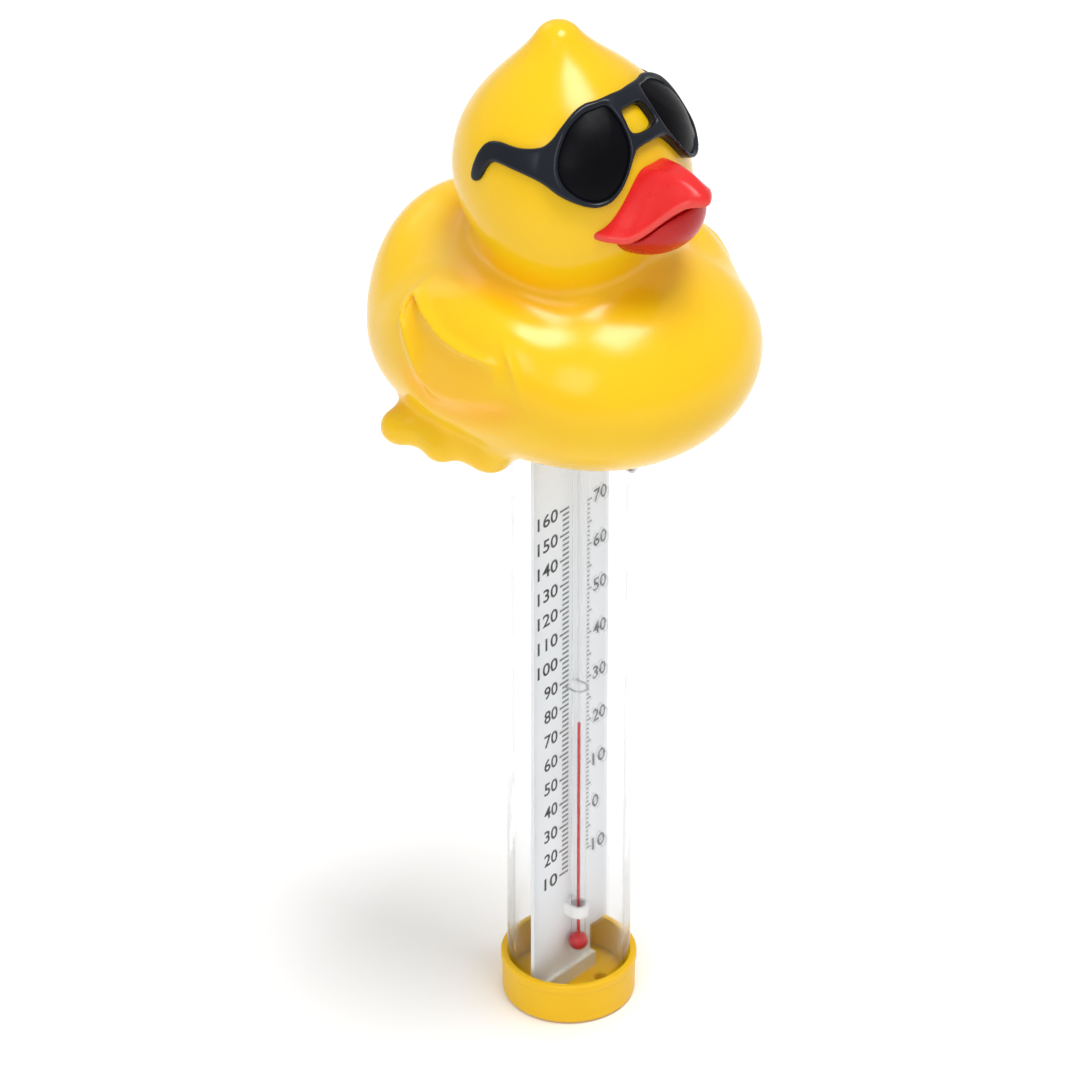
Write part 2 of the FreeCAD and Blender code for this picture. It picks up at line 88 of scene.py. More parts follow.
def ellipsoid(points, centre, half_axes, tilt=0.0):
    """Distance-like field of an ellipsoid, tilted about X."""
    local = points - np.array(centre, float)
    if tilt:
        local = turn_x(local, -tilt)
    half = np.array(half_axes, float)
    near = np.sqrt(((local / half) ** 2).sum(-1))
    slope = np.sqrt(((local / half ** 2) ** 2).sum(-1))
    return near * (near - 1.0) / np.maximum(slope, 1e-9)


def capsule(points, start, end, start_radius, end_radius):
    """Distance field of the skin stretched over two balls."""
    start = np.array(start, float)
    axis = np.array(end, float) - start
    length = np.linalg.norm(axis)
    axis /= length
    along = (points - start) @ axis
    across = np.linalg.norm(points - start - along[..., None] * axis, axis=-1)
    lean = (start_radius - end_radius) / length
    share = np.clip((along - across * lean / math.sqrt(1 - lean ** 2)) / length, 0.0, 1.0)
    reach = np.hypot(across, along - share * length)
    return reach - (start_radius + (end_radius - start_radius) * share)


def blend_in(first, second, width):
    """Union of two fields with a fillet of about the given width."""
    share = np.clip(0.5 + 0.5 * (second - first) / width, 0.0, 1.0)
    return second * (1 - share) + first * share - width * share * (1 - share)


def overlap(first, second, width):
    """Overlap of two fields with a rounded edge."""
    return -blend_in(-first, -second, width)


def ramp(value, start, length):
    """0 up to the start, then rising evenly to 1 over the length."""
    return np.clip((value - start) / length, 0, 1)


def bead(distance, width):
    """Rounded profile that is 1 on its line and fades over about the width."""
    return np.exp(-(distance / width) ** 2)


def soft_step(share):
    """Smooth rise from 0 to 1 as the share goes from 0 to 1."""
    share = np.clip(share, 0, 1)
    return share * share * (3 - 2 * share)


def mirrored(points):
    """Points folded onto the duck's right side, so that paired features are written once."""
    folded = points.copy()
    folded[..., 0] = -np.abs(folded[..., 0])
    return folded


def closed_curve(points, per_span=8):
    """A smooth closed curve through the points (Catmull-Rom)."""
    knots = np.array(points, float)
    previous, following, after = np.roll(knots, 1, 0), np.roll(knots, -1, 0), np.roll(knots, -2, 0)
    steps = np.linspace(0.0, 1.0, per_span, endpoint=False)[:, None, None]
    curve = 0.5 * (2 * knots + (following - previous) * steps
                   + (2 * previous - 5 * knots + 4 * following - after) * steps ** 2
                   + (3 * knots - previous - 3 * following + after) * steps ** 3)
    return curve.transpose(1, 0, 2).reshape(-1, 2)


def outline_distance(u, v, curve):
    """Signed distance of flat points to a closed curve, negative inside."""
    flat = np.stack([u, v], -1).reshape(-1, 2)
    nearest = np.full(len(flat), 1e9)
    inside = np.zeros(len(flat), bool)
    for start, end in zip(curve, np.roll(curve, -1, 0)):
        along = end - start
        share = np.clip(((flat - start) @ along) / max(along @ along, 1e-12), 0.0, 1.0)
        nearest = np.minimum(nearest, np.linalg.norm(flat - (start + share[:, None] * along), axis=1))
        crosses = (start[1] > flat[:, 1]) != (end[1] > flat[:, 1])
        if abs(along[1]) > 1e-12:
            reach = start[0] + (flat[:, 1] - start[1]) / along[1] * along[0]
            inside ^= crosses & (flat[:, 0] < reach)
    return np.where(inside, -nearest, nearest).reshape(np.shape(u))


def flat_map(curve, margin=8.0, pitch=0.2):
    """Signed distance to a closed curve, tabled once so that it is quick to look up."""
    low = curve.min(0) - margin
    counts = np.ceil((curve.max(0) + margin - low) / pitch).astype(int) + 1
    columns = low[0] + pitch * np.arange(counts[0])
    rows = low[1] + pitch * np.arange(counts[1])
    u, v = np.meshgrid(columns, rows, indexing="ij")
    table = outline_distance(u, v, curve)

    def look_up(across, up):
        a = np.clip((across - low[0]) / pitch, 0, counts[0] - 1.001)
        b = np.clip((up - low[1]) / pitch, 0, counts[1] - 1.001)
        i, j = a.astype(int), b.astype(int)
        a, b = a - i, b - j
        return ((table[i, j] * (1 - a) + table[i + 1, j] * a) * (1 - b)
                + (table[i, j + 1] * (1 - a) + table[i + 1, j + 1] * a) * b)

    return look_up


# ---------------------------------------------------------------- the duck's form

# The wing's outline seen from the side: (Y, height above the body's centre).
WING_LEAF = flat_map(closed_curve((
    (16.2, 17.4), (10.0, 15.9), (4.0, 14.0), (-2.0, 12.7), (-7.4, 11.6), (-10.6, 9.0), (-10.2, 5.2),
    (-6.4, 1.6), (0.2, -0.6), (6.0, -1.0), (8.8, 1.4), (10.4, 4.8), (13.2, 8.0), (16.2, 11.4),
    (17.4, 14.6))))
WING_EDGE = 0.45
WING_UPPER_EDGE = 0.75
WING_DISH = 0.6
WING_PINCH = 0.9
BREAST_FOLD = 0.6


def body_form(points):
    """Breast, rump and upturned tail, without wings, feet or head."""
    breast = ellipsoid(points, (0, -9, BODY_Z), (34.6, 33.6, 23.2))
    rump = ellipsoid(points, (0, 12.6, BODY_Z + 0.6), (36.6, 31.8, 23.0))
    tail = ellipsoid(points, (0, 31.0, BODY_Z + 7.6), (18.6, 12.0, 15.0), tilt=-20)
    return blend_in(blend_in(breast, rump, 12.0), tail, 10.0)


def wing_relief(points):
    """Height of the wing on each side: a raised edge round a dish, a pinch below it and a fold before it."""
    y, z = points[..., 1], points[..., 2] - BODY_Z
    leaf = WING_LEAF(y, z)
    upper = ramp(z, 10.0, 2.5)
    low_front = ramp(-y, -2.0, 4.0) * (1 - upper)
    edge = (WING_EDGE + WING_UPPER_EDGE * upper) * ramp(z, -0.5, 4.0) * (1 - low_front)
    dish = soft_step(-leaf / 4.5)
    pinch = bead(leaf - 2.5, 3.4) * ramp(-z, -4.0, 4.0) * ramp(-y, -14.0, 5.0)
    fold_line = 6.0 * np.clip((z - 3.6) / 11.9, 0, 1.2) ** 2.2 - 16.0
    fold = bead(y - fold_line, 0.9) * ramp(-z, -16.5, 3.0) * ramp(z, 3.0, 7.0)
    return edge * bead(leaf, 0.9) - WING_DISH * dish - WING_PINCH * pinch + BREAST_FOLD * fold


def add_wings(form, points):
    """A soft shoulder on each side that carries a leaf-shaped wing."""
    side = mirrored(points)
    form = blend_in(form, ellipsoid(side, (-27.8, 2, BODY_Z + 8), (8.4, 18, 11)), 9.0)
    return form - wing_relief(side) * ramp(-side[..., 0], 16.0, 6.0)


def add_feet(form, points):
    """A webbed foot with three rounded toes under each side, and the fold that runs up from its front."""
    side = mirrored(points) - np.array((0, 0, BODY_Z))
    for heel, toe in (((-24, 12, -11), (-33.4, 19.4, -16.1)), ((-24, 8, -12), (-30.8, 9.6, -17.8)),
                      ((-24, 4, -15), (-26.5, 0.9, -18.0))):
        form = blend_in(form, capsule(side, heel, toe, 5.0, 3.9), 4.0)
    web = capsule(side, (-31.8, 17.0, -15.4), (-26.6, 1.8, -17.3), 4.0, 4.0)
    heel_pad = capsule(side, (-28, -7, -10), (-25.5, -1, -19), 2.2, 3.0)
    fold = capsule(side, (-28.9, -2.6, -13.0), (-32.6, -9.6, -5.6), 1.5, 1.1)
    return blend_in(blend_in(blend_in(form, web, 2.5), heel_pad, 3.0), fold, 1.2)


def head_form(points):
    """Round head with fuller cheeks, drawn up into a soft crest."""
    side = mirrored(points)
    head = ellipsoid(points, (0, 0, HEAD_Z), (24.3, 24.3, 23.4))
    head = blend_in(head, ellipsoid(side, (-9, -6, HEAD_Z - 8.5), (14, 14, 12)), 8.0)
    crest = capsule(points, (0, 1.5, HEAD_Z), (0, 3.5, HEAD_Z + 26.3), 20.6, 5.6)
    return blend_in(head, crest, 7.0)


def duck_form(points):
    """The whole vinyl skin."""
    form = add_feet(add_wings(body_form(points), points), points)
    return blend_in(form, head_form(points), 9.0)


# ---------------------------------------------------------------- meshing a field

def slope_of(field, points, reach):
    """Gradient of a field by central differences."""
    parts = []
    for axis in np.eye(3):
        parts.append((field(points + axis * reach) - field(points - axis * reach)) / (2 * reach))
    return np.stack(parts, -1)


def sample_grid(field, low, high, step, block=4):
    """Field values on a regular grid. Blocks of cells far from the surface share their centre's value."""
    blocks = np.ceil((high - low) / (step * block)).astype(int)
    middles = np.stack(np.meshgrid(*[np.arange(n) for n in blocks], indexing="ij"), -1)
    coarse = field(low + step * (middles * block + (block - 1) / 2))
    values = coarse
    for axis in range(3):
        values = np.repeat(values, block, axis)
    values = values.copy()
    corner = np.argwhere(np.abs(coarse) < 1.5 * block * step) * block
    inner = np.stack(np.meshgrid(*[np.arange(block)] * 3, indexing="ij"), -1).reshape(-1, 3)
    places = (corner[:, None] + inner).reshape(-1, 3)
    values[tuple(places.T)] = field(low + step * places)
    return values


def net_surface(field, low, high, step, smoothing=2):
    """Quad mesh of a field's zero surface: one point per crossed cell, drawn onto the surface."""
    low, high = np.array(low, float), np.array(high, float)
    inside = sample_grid(field, low, high, step) < 0
    cells = np.array(inside.shape) - 1
    corners = sum(inside[i:cells[0] + i, j:cells[1] + j, k:cells[2] + k].astype(np.int8)
                  for i in (0, 1) for j in (0, 1) for k in (0, 1))
    crossed = (corners > 0) & (corners < 8)
    place = np.full(crossed.shape, -1)
    places = np.argwhere(crossed)
    place[crossed] = np.arange(len(places))
    points = low + step * (places + 0.5)
    quads = []
    for axis in range(3):
        first, second = [a for a in range(3) if a != axis]
        near = np.take(inside, range(cells[axis]), axis)
        far = np.take(inside, range(1, cells[axis] + 1), axis)
        for rising in (True, False):
            edges = np.argwhere((near & ~far) if rising else (far & ~near))
            clear = ((edges[:, first] > 0) & (edges[:, second] > 0)
                     & (edges[:, first] < cells[first]) & (edges[:, second] < cells[second]))
            edges = edges[clear]
            ring = []
            for a, b in ((0, 0), (1, 0), (1, 1), (0, 1)):
                cell = edges.copy()
                cell[:, first] -= a
                cell[:, second] -= b
                ring.append(place[tuple(cell.T)])
            quad = np.stack(ring, -1)
            if rising == (axis == 1):
                quad = quad[:, ::-1]
            quads.append(quad)
    quads = np.concatenate(quads)
    links = np.concatenate([quads[:, [i, (i + 1) % 4]] for i in range(4)])
    for sweep in range(smoothing + 1):
        if sweep:
            total = np.zeros_like(points)
            count = np.zeros(len(points))
            np.add.at(total, links[:, 0], points[links[:, 1]])
            np.add.at(total, links[:, 1], points[links[:, 0]])
            np.add.at(count, links[:, 0], 1)
            np.add.at(count, links[:, 1], 1)
            points = 0.5 * points + 0.5 * total / np.maximum(count, 1)[:, None]
        for _ in range(3):
            slope = slope_of(field, points, 0.2 * step)
            steep = np.maximum((slope ** 2).sum(-1), 0.05)
            points = points - np.clip(field(points) / steep, -step, step)[:, None] * slope
    return points, quads


def piece_from(name, points, faces, smooth=True):
    """Mesh object from points in millimetres."""
    mesh = bpy.data.meshes.new(name)
    mesh.from_pydata((np.asarray(points) * MM).tolist(), [], [list(map(int, f)) for f in faces])
    mesh.validate()
    mesh.polygons.foreach_set("use_smooth", [smooth] * len(mesh.polygons))
    piece = bpy.data.objects.new(name, mesh)
    bpy.context.scene.collection.objects.link(piece)
    return piece


def store(piece, name, values):
    """One number per point, for the material to read."""
    attribute = piece.data.attributes.new(name, "FLOAT", "POINT")
    attribute.data.foreach_set("value", np.asarray(values, np.float32))


def crease_of(field, points, depths=(2.0, 4.5, 9.0)):
    """Painted shade for the creases: 0 on open surface and towards 1 in a crease, from how slowly the field
    opens along the normal.
    """
    normal = slope_of(field, points, 0.2)
    normal /= np.linalg.norm(normal, axis=1)[:, None]
    closed = [np.clip(1.0 - field(points + normal * depth) / depth, 0.0, 1.0) for depth in depths]
    return np.mean(closed, 0)


# ---------------------------------------------------------------- duck pieces

def make_duck():
    """The skin, with its creases, the wings' dishes and a band under the wings marked for painted shade in
    the vinyl's colours.
    """
    points, faces = net_surface(duck_form, SHELL_LOW - 3, SHELL_HIGH + 3, GRID_STEP)
    skin = piece_from("duck_skin", points, faces)
    # Painted shade: marks the creases, where shade gathers, for a darker orange.
    store(skin, "crease", crease_of(duck_form, points))
    side = mirrored(points)
    height = side[:, 2] - BODY_Z
    leaf = WING_LEAF(side[:, 1], height)
    # Painted shade: marks each wing's dished inside for a darker orange.
    store(skin, "wing", np.clip(-leaf / 3.0, 0, 1) * (side[:, 0] < -20))
    # Painted shade: a soft band under each wing for a deeper orange.
    below = bead(leaf - 2.0, 4.2) * ramp(-height, -6.0, 5.0)
    store(skin, "under_wing_shade", below * (side[:, 0] < -22))
    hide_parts("float_shell")
    return skin


HEAD_ROUND = 26.0
HEAD_TURN = math.radians(-1.5)


def head_flat(points, fold=True):
    """Distance round the head and height on it, as flat coordinates, with both sides folded together."""
    angle = np.arctan2(points[..., 0], -points[..., 1]) - HEAD_TURN
    if fold:
        angle = np.abs(angle)
    rise = points[..., 2] - HEAD_Z
    reach = np.sqrt(points[..., 0] ** 2 + points[..., 1] ** 2 + rise ** 2)
    return angle * HEAD_ROUND, HEAD_ROUND * rise / np.maximum(reach, 1.0)


def head_map(points):
    """Closed outline from (degrees round the head, height above the head's centre) points."""
    return flat_map(closed_curve([(math.radians(a) * HEAD_ROUND, h) for a, h in points]))


# Half of the eyewear's outline, drawn a little past the middle of the face so that its halves join smoothly.
GLASSES_OUTLINE = head_map((
    (-30, 22.2), (-15, 22.2), (0, 22.2), (12, 22.2), (27, 21.9), (38, 21.6), (47, 20.5), (54.5, 18.4),
    (60, 16.3), (66, 14.9),
    (78, 14.0), (92, 13.8), (99, 12.8), (102.4, 10.6), (103.8, 7.0), (103.2, 4.4), (100.0, 4.0),
    (97.2, 5.4), (94.6, 8.2), (91.0, 9.7), (83, 9.8), (70, 9.0), (61, 7.8), (54, 6.2), (46, 4.6),
    (39, 3.6), (34, 3.5), (28.5, 4.3), (23.5, 6.2), (19, 8.8), (15, 11.2), (11, 12.8), (5, 13.3),
    (-5, 13.3), (-15, 13.3), (-30, 13.3)))
LENS_OUTLINE = head_map((
    (54.6, 11.8), (53.6, 15.0), (48.8, 18.3), (39.5, 20.3), (29, 20.9), (19.5, 20.9), (15.0, 18.6),
    (14.0, 15.2),
    (15.4, 12.6), (19.2, 9.7), (23.8, 7.0), (29.5, 5.1), (36, 4.5), (42.6, 5.3), (48.6, 7.0), (52.8, 9.2)))
BRIDGE_WINDOW = head_map((
    (-10.8, 18.0), (-9.6, 19.6), (0, 19.9), (9.6, 19.6), (10.8, 18.0), (9.6, 16.0), (0, 15.5),
    (-9.6, 16.0)))


def front_share(points):
    """1 across the front of the face and 0 along the temples."""
    across, _ = head_flat(points)
    return soft_step((math.radians(66) * HEAD_ROUND - across) / 7.0)


def glasses_form(points):
    """The frame: a band on the head, cut to its outline and open at the lenses and over the nose."""
    across, up = head_flat(points)
    whole, _ = head_flat(points, fold=False)
    head = head_form(points)
    height = 1.3 + 1.2 * front_share(points)
    flat = np.maximum(GLASSES_OUTLINE(across, up), -LENS_OUTLINE(across, up) - 0.1)
    flat = np.maximum(flat, -BRIDGE_WINDOW(whole, up))
    return overlap(overlap(head - height, -head - 0.8, 0.6), flat, 1.0)


def lens_form(points):
    """A lens on each side, domed a little in its middle."""
    across, up = head_flat(points)
    flat = LENS_OUTLINE(across, up)
    dome = 1.6 + 0.9 * (1 - np.exp(np.minimum(flat, 0.0) / 3.0))
    head = head_form(points)
    return overlap(overlap(head - dome, -(head + 0.6), 0.5), flat - 0.2, 0.4)


def make_glasses():
    """Frame in one piece and a lens on each side."""
    low = np.array((-29.0, -29.0, HEAD_Z + 1.0))
    high = np.array((29.0, 12.0, HEAD_Z + 25.0))
    step = GRID_STEP * 0.6
    points, faces = net_surface(glasses_form, low, high, step, smoothing=4)
    rim = piece_from("glasses_frame", points, faces)
    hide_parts("sunglasses_frame")
    pieces = [rim]
    for name, node, side in (("lens_right", "right_lens", -1), ("lens_left", "left_lens", 1)):
        near = low.copy()
        far = high.copy()
        if side < 0:
            far[0] = 0.0
        else:
            near[0] = 0.0
        points, faces = net_surface(lens_form, near, far, step, smoothing=3)
        lens = piece_from(name, points, faces)
        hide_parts(node)
        pieces.append(lens)
    return pieces


BILL_FORWARD = (14.0, 20.0, 23.5, 27.6, 31.0, 34.6, 37.4, 38.8)
BILL_HALF_WIDTH = (15.9, 15.8, 15.0, 12.6, 9.2, 5.4, 2.6, 0.0)
BILL_PLAN = flat_map(closed_curve(
    [(width, forward) for forward, width in zip(BILL_FORWARD, BILL_HALF_WIDTH)]
    + [(-width, forward) for forward, width in zip(BILL_FORWARD[-2::-1], BILL_HALF_WIDTH[-2::-1])]))
RIDGE_Z = HEAD_Z + 8.9
RIDGE_BEND = 29.5
LIP_Z = HEAD_Z - 3.9
LIP_RISE = 8.4
LIP_START = 26.0
LIP_END = 36.5


def face_on(points):
    """Points turned so that the face looks straight along -Y."""
    c, s = math.cos(HEAD_TURN), math.sin(HEAD_TURN)
    turned = points.copy()
    turned[..., 0] = points[..., 0] * c + points[..., 1] * s
    turned[..., 1] = points[..., 1] * c - points[..., 0] * s
    return turned


def lip_height(points):
    """The mouth line runs level from the corners, then sweeps up to the tip."""
    return LIP_Z + LIP_RISE * soft_step((-points[..., 1] - LIP_START) / (LIP_END - LIP_START))


def upper_bill_form(points):
    """Upper bill: a soft ridge down its middle, thinning to an upturned tip."""
    points = face_on(points)
    forward = -points[..., 1]
    ridge = RIDGE_Z - np.where(forward < RIDGE_BEND, 0.012, 0.044) * (forward - RIDGE_BEND) ** 2
    half_width = np.interp(forward, BILL_FORWARD, BILL_HALF_WIDTH)
    bell = 1 - soft_step((np.abs(points[..., 0]) / np.maximum(half_width, 1.5) - 0.15) / 0.85)
    lip = lip_height(points)
    top = lip + 1.1 + (ridge - lip - 1.1) * bell
    above = (points[..., 2] - top) * 0.75
    under = (lip - 0.7 - points[..., 2]) * 0.8
    form = overlap(overlap(above, under, 1.4), BILL_PLAN(points[..., 0], forward), 1.4)
    return overlap(form, points[..., 1] + 17.5, 0.3)


def lower_bill_form(points):
    """Lower bill: a bowl that ends just under the mouth line."""
    points = face_on(points)
    bowl = ellipsoid(points, (0, -20.6, HEAD_Z - 1.9), (12.2, 13.6, 10.2))
    form = overlap(bowl, (points[..., 2] - lip_height(points) + 0.9) * 0.8, 1.0)
    return overlap(form, points[..., 1] + 16.0, 0.3)


def make_bill():
    """Upper and lower bill, with the lip's edge marked for its painted highlight line."""
    step = GRID_STEP * 0.8
    pieces = []
    for name, form, node, slot, low, high in (
            ("bill_upper", upper_bill_form, "upper_bill", "bill_red", (-18, -41, -7.5), (18, -15, 12.5)),
            ("bill_lower", lower_bill_form, "lower_bill", "mouth_red", (-16, -39, -15.5), (16, -14, 6.5))):
        head = np.array((0, 0, HEAD_Z))
        points, faces = net_surface(form, head + low, head + high, step, smoothing=3)
        piece = piece_from(name, points, faces)
        turned = face_on(points)
        edge = BILL_PLAN(turned[:, 0], -turned[:, 1])
        # Painted highlight: a paler line along the lip's edge.
        store(piece, "lip", np.clip(1 - np.abs(edge) / 0.9, 0, 1))
        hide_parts(node)
        pieces.append(piece)
    return pieces


def make_eyelet():
    """Wire ring under the tail with a short shank going up into the skin."""
    low, high = EYE_LOW, EYE_HIGH
    centre = np.array(((low[0] + high[0]) / 2, (low[1] + high[1]) / 2, low[2] + 2.0))
    around, section = 40, 14
    ring_radius, wire = 1.575, 0.42
    points, faces = [], []
    for i in range(around):
        turn = 2 * math.pi * i / around
        for j in range(section):
            bend = 2 * math.pi * j / section
            reach = ring_radius + wire * math.cos(bend)
            offset = (wire * math.sin(bend), reach * math.sin(turn), reach * math.cos(turn))
            points.append(centre + np.array(offset))
            right, up = (i + 1) % around, (j + 1) % section
            faces.append((i * section + j, right * section + j, right * section + up, i * section + up))
    base = len(points)
    shank_radius = 0.5
    for level in (centre[2] + ring_radius, high[2] - 1.0):
        for j in range(section):
            turn = 2 * math.pi * j / section
            across = shank_radius * np.array((math.cos(turn), math.sin(turn)))
            points.append(np.array((centre[0] + across[0], centre[1] + across[1], level)))
    for j in range(section):
        up = (j + 1) % section
        faces.append((base + j, base + up, base + section + up, base + section + j))
    eyelet = piece_from("eyelet", points, faces)
    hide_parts("tether_eyelet")
    return eyelet


# ---------------------------------------------------------------- the card's print

SCALE_ZERO_Z = 32.6
SCALE_STEP_Z = 0.644
DIGIT_WIDTH = 2.25
DIGIT_HEIGHT = 3.3
PRINT_FRONT = CARD_LOW[1] - 0.03
PRINT_BACK = CARD_LOW[1] + 0.02


def add_bar(points, faces, left, right, z, height):
    """Thin printed bar on the card's front."""
    base = len(points)
    bottom, top = z - height / 2, z + height / 2
    for y in (PRINT_FRONT, PRINT_BACK):
        for x, level in ((left, bottom), (right, bottom), (right, top), (left, top)):
            points.append((x, y, level))
    for face in ((0, 1, 2, 3), (7, 6, 5, 4), (0, 4, 5, 1), (1, 5, 6, 2), (2, 6, 7, 3), (3, 7, 4, 0)):
        faces.append([base + corner for corner in face])


def add_number(points, faces, text, left, right, z, height):
    """A number set with its middle on z, fitted between left and right."""
    curve = bpy.data.curves.new("number", "FONT")
    curve.body = text
    curve.extrude = 0.5
    curve.offset = 0.012
    curve.resolution_u = 3
    lettering = bpy.data.objects.new("number", curve)
    bpy.context.scene.collection.objects.link(lettering)
    bpy.context.view_layer.update()
    shape = bpy.data.meshes.new_from_object(lettering.evaluated_get(bpy.context.evaluated_depsgraph_get()))
    flat = np.array([v.co for v in shape.vertices])
    low, high = flat.min(0), flat.max(0)
    size = (flat - low) / (high - low)
    base = len(points)
    for across, up, deep in size:
        points.append((left + across * (right - left), PRINT_BACK + deep * (PRINT_FRONT - PRINT_BACK),
                       z + (up - 0.5) * height))
    faces.extend([base + corner for corner in face.vertices] for face in shape.polygons)
    bpy.data.objects.remove(lettering)
    bpy.data.curves.remove(curve)
    bpy.data.meshes.remove(shape)


def make_print():
    """Scale lines and numbers: degrees F to the left of the stem and degrees C to the right."""
    points, faces = [], []
    for degree in range(10, 162, 2):
        z = SCALE_ZERO_Z + SCALE_STEP_Z * (degree - 10)
        add_bar(points, faces, -3.9 if degree % 10 == 0 else -3.0, -0.9, z, 0.42)
    for degree in range(10, 161, 10):
        z = SCALE_ZERO_Z + SCALE_STEP_Z * (degree - 10)
        text = str(degree)
        add_number(points, faces, text, -4.5 - DIGIT_WIDTH * len(text), -4.6, z, DIGIT_HEIGHT)
    for degree in range(-10, 71):
        z = SCALE_ZERO_Z + SCALE_STEP_Z * (degree * 1.8 + 22)
        add_bar(points, faces, 5.3, 6.7 if degree % 5 == 0 else 6.0, z, 0.36)
    for degree in range(-10, 71, 10):
        z = SCALE_ZERO_Z + SCALE_STEP_Z * (degree * 1.8 + 22)
        text = str(abs(degree))
        add_number(points, faces, text, 7.3, 7.2 + DIGIT_WIDTH * len(text), z, DIGIT_HEIGHT)
    ink = piece_from("card_print", points, faces, smooth=False)
    return ink


# ---------------------------------------------------------------- the spirit

def turned_body(outline, x, y, around):
    """Points and faces of a closed body turned about an upright axis, from (radius, height) points."""
    points, faces = [], []
    for radius, level in outline:
        for turn in np.linspace(0, 2 * math.pi, around, endpoint=False):
            points.append((x + radius * math.cos(turn), y + radius * math.sin(turn), level))
    for i in range(len(outline) - 1):
        low_ring, high_ring = i * around, (i + 1) * around
        for j in range(around):
            k = (j + 1) % around
            faces.append((low_ring + j, low_ring + k, high_ring + k, high_ring + j))
    faces.append(tuple(reversed(range(around))))
    faces.append(tuple((len(outline) - 1) * around + j for j in range(around)))
    return points, faces


def make_thread():
    """Thread of red spirit that grows from the stem's neck as the reading rises."""
    low, high = SPIRIT_LOW, SPIRIT_HIGH
    radius = (high[0] - low[0]) / 2 - 0.01
    x, y = (low[0] + high[0]) / 2, (low[1] + high[1]) / 2
    outline = [(radius, level) for level in np.linspace(low[2], high[2], 60)]
    points, faces = turned_body(outline, x, y, around=20)
    thread = piece_from("spirit_thread", points, faces)
    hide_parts("spirit_column")
    return thread


def make_bulb():
    """Spirit in the bulb as it looks through the round glass: it fills the bulb from edge to edge."""
    low, high = box_mm("bulb_spirit")
    radius = (high[0] - low[0]) / 2 + 0.4
    neck = (SPIRIT_HIGH[0] - SPIRIT_LOW[0]) / 2 - 0.01
    x, y, z = (low[0] + high[0]) / 2, (low[1] + high[1]) / 2, low[2] - 0.4 + radius
    neck_angle = math.asin(neck / radius)
    angles = np.linspace(0.02, math.pi - neck_angle, 28)
    outline = [(radius * math.sin(angle), z - radius * math.cos(angle)) for angle in angles]
    outline += [(neck, level) for level in np.linspace(outline[-1][1], high[2], 6)[1:]]
    around = 36
    points, faces = turned_body(outline, x, y, around)
    bulb = piece_from("spirit_in_bulb", points, faces)
    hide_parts("bulb_spirit")
    return bulb


# ---------------------------------------------------------------- materials

def new_material(name):
    """Node material with a shader, its object coordinates and a helper to add nodes."""
    material = bpy.data.materials.new(name)
    material.use_nodes = True
    tree = material.node_tree
    shader = tree.nodes["Principled BSDF"]
    place = tree.nodes.new("ShaderNodeTexCoord").outputs["Object"]
    return material, tree, shader, place


def noise(tree, place, scale, detail=4.0, roughness=0.55, stretch=None):
    """Noise in object space, its scale given in lumps per metre."""
    if stretch is not None:
        mapping = tree.nodes.new("ShaderNodeMapping")
        mapping.inputs["Scale"].default_value = stretch
        tree.links.new(place, mapping.inputs["Vector"])
        place = mapping.outputs["Vector"]
    texture = tree.nodes.new("ShaderNodeTexNoise")
    texture.inputs["Scale"].default_value = scale
    texture.inputs["Detail"].default_value = detail
    texture.inputs["Roughness"].default_value = roughness
    tree.links.new(place, texture.inputs["Vector"])
    return texture.outputs["Fac"]


def spread(tree, value, low, high, start=0.3, end=0.7):
    """Map a value's usual range onto low..high."""
    node = tree.nodes.new("ShaderNodeMapRange")
    for socket, number in (("From Min", start), ("From Max", end), ("To Min", low), ("To Max", high)):
        node.inputs[socket].default_value = number
    tree.links.new(value, node.inputs["Value"])
    return node.outputs["Result"]


def mix_colours(tree, share, first, second):
    """Mix two colours; each is a colour or another node's output."""
    node = tree.nodes.new("ShaderNodeMix")
    node.data_type = "RGBA"
    tree.links.new(share, node.inputs[0])
    for socket, colour in ((node.inputs[6], first), (node.inputs[7], second)):
        if isinstance(colour, tuple):
            socket.default_value = (*colour, 1.0)
        else:
            tree.links.new(colour, socket)
    return node.outputs[2]


def roughen(tree, shader, heights):
    """Chain bumps, each a (height, strength, distance in metres)."""
    normal = None
    for height, strength, distance in heights:
        bump = tree.nodes.new("ShaderNodeBump")
        bump.inputs["Strength"].default_value = strength
        bump.inputs["Distance"].default_value = distance
        tree.links.new(height, bump.inputs["Height"])
        if normal is not None:
            tree.links.new(normal, bump.inputs["Normal"])
        normal = bump.outputs["Normal"]
    tree.links.new(normal, shader.inputs["Normal"])


def attribute(tree, name):
    """A number stored on the piece's points."""
    node = tree.nodes.new("ShaderNodeAttribute")
    node.attribute_name = name
    return node.outputs["Fac"]


def solid_material(name, colour, shade, roughness, grain=900.0, bump=0.05, settings=()):
    """Moulded or printed surface: slow colour drift, uneven gloss and a fine grain."""
    material, tree, shader, place = new_material(name)
    drift = noise(tree, place, 38.0, 3.0)
    fine = noise(tree, place, grain, 5.0)
    base = mix_colours(tree, spread(tree, drift, 0.0, 1.0), colour, shade)
    tree.links.new(base, shader.inputs["Base Color"])
    tree.links.new(spread(tree, fine, roughness[0], roughness[1]), shader.inputs["Roughness"])
    roughen(tree, shader, ((drift, 0.25 * bump, 0.0006), (fine, bump, 0.00015)))
    for socket, value in settings:
        shader.inputs[socket].default_value = value
    return material


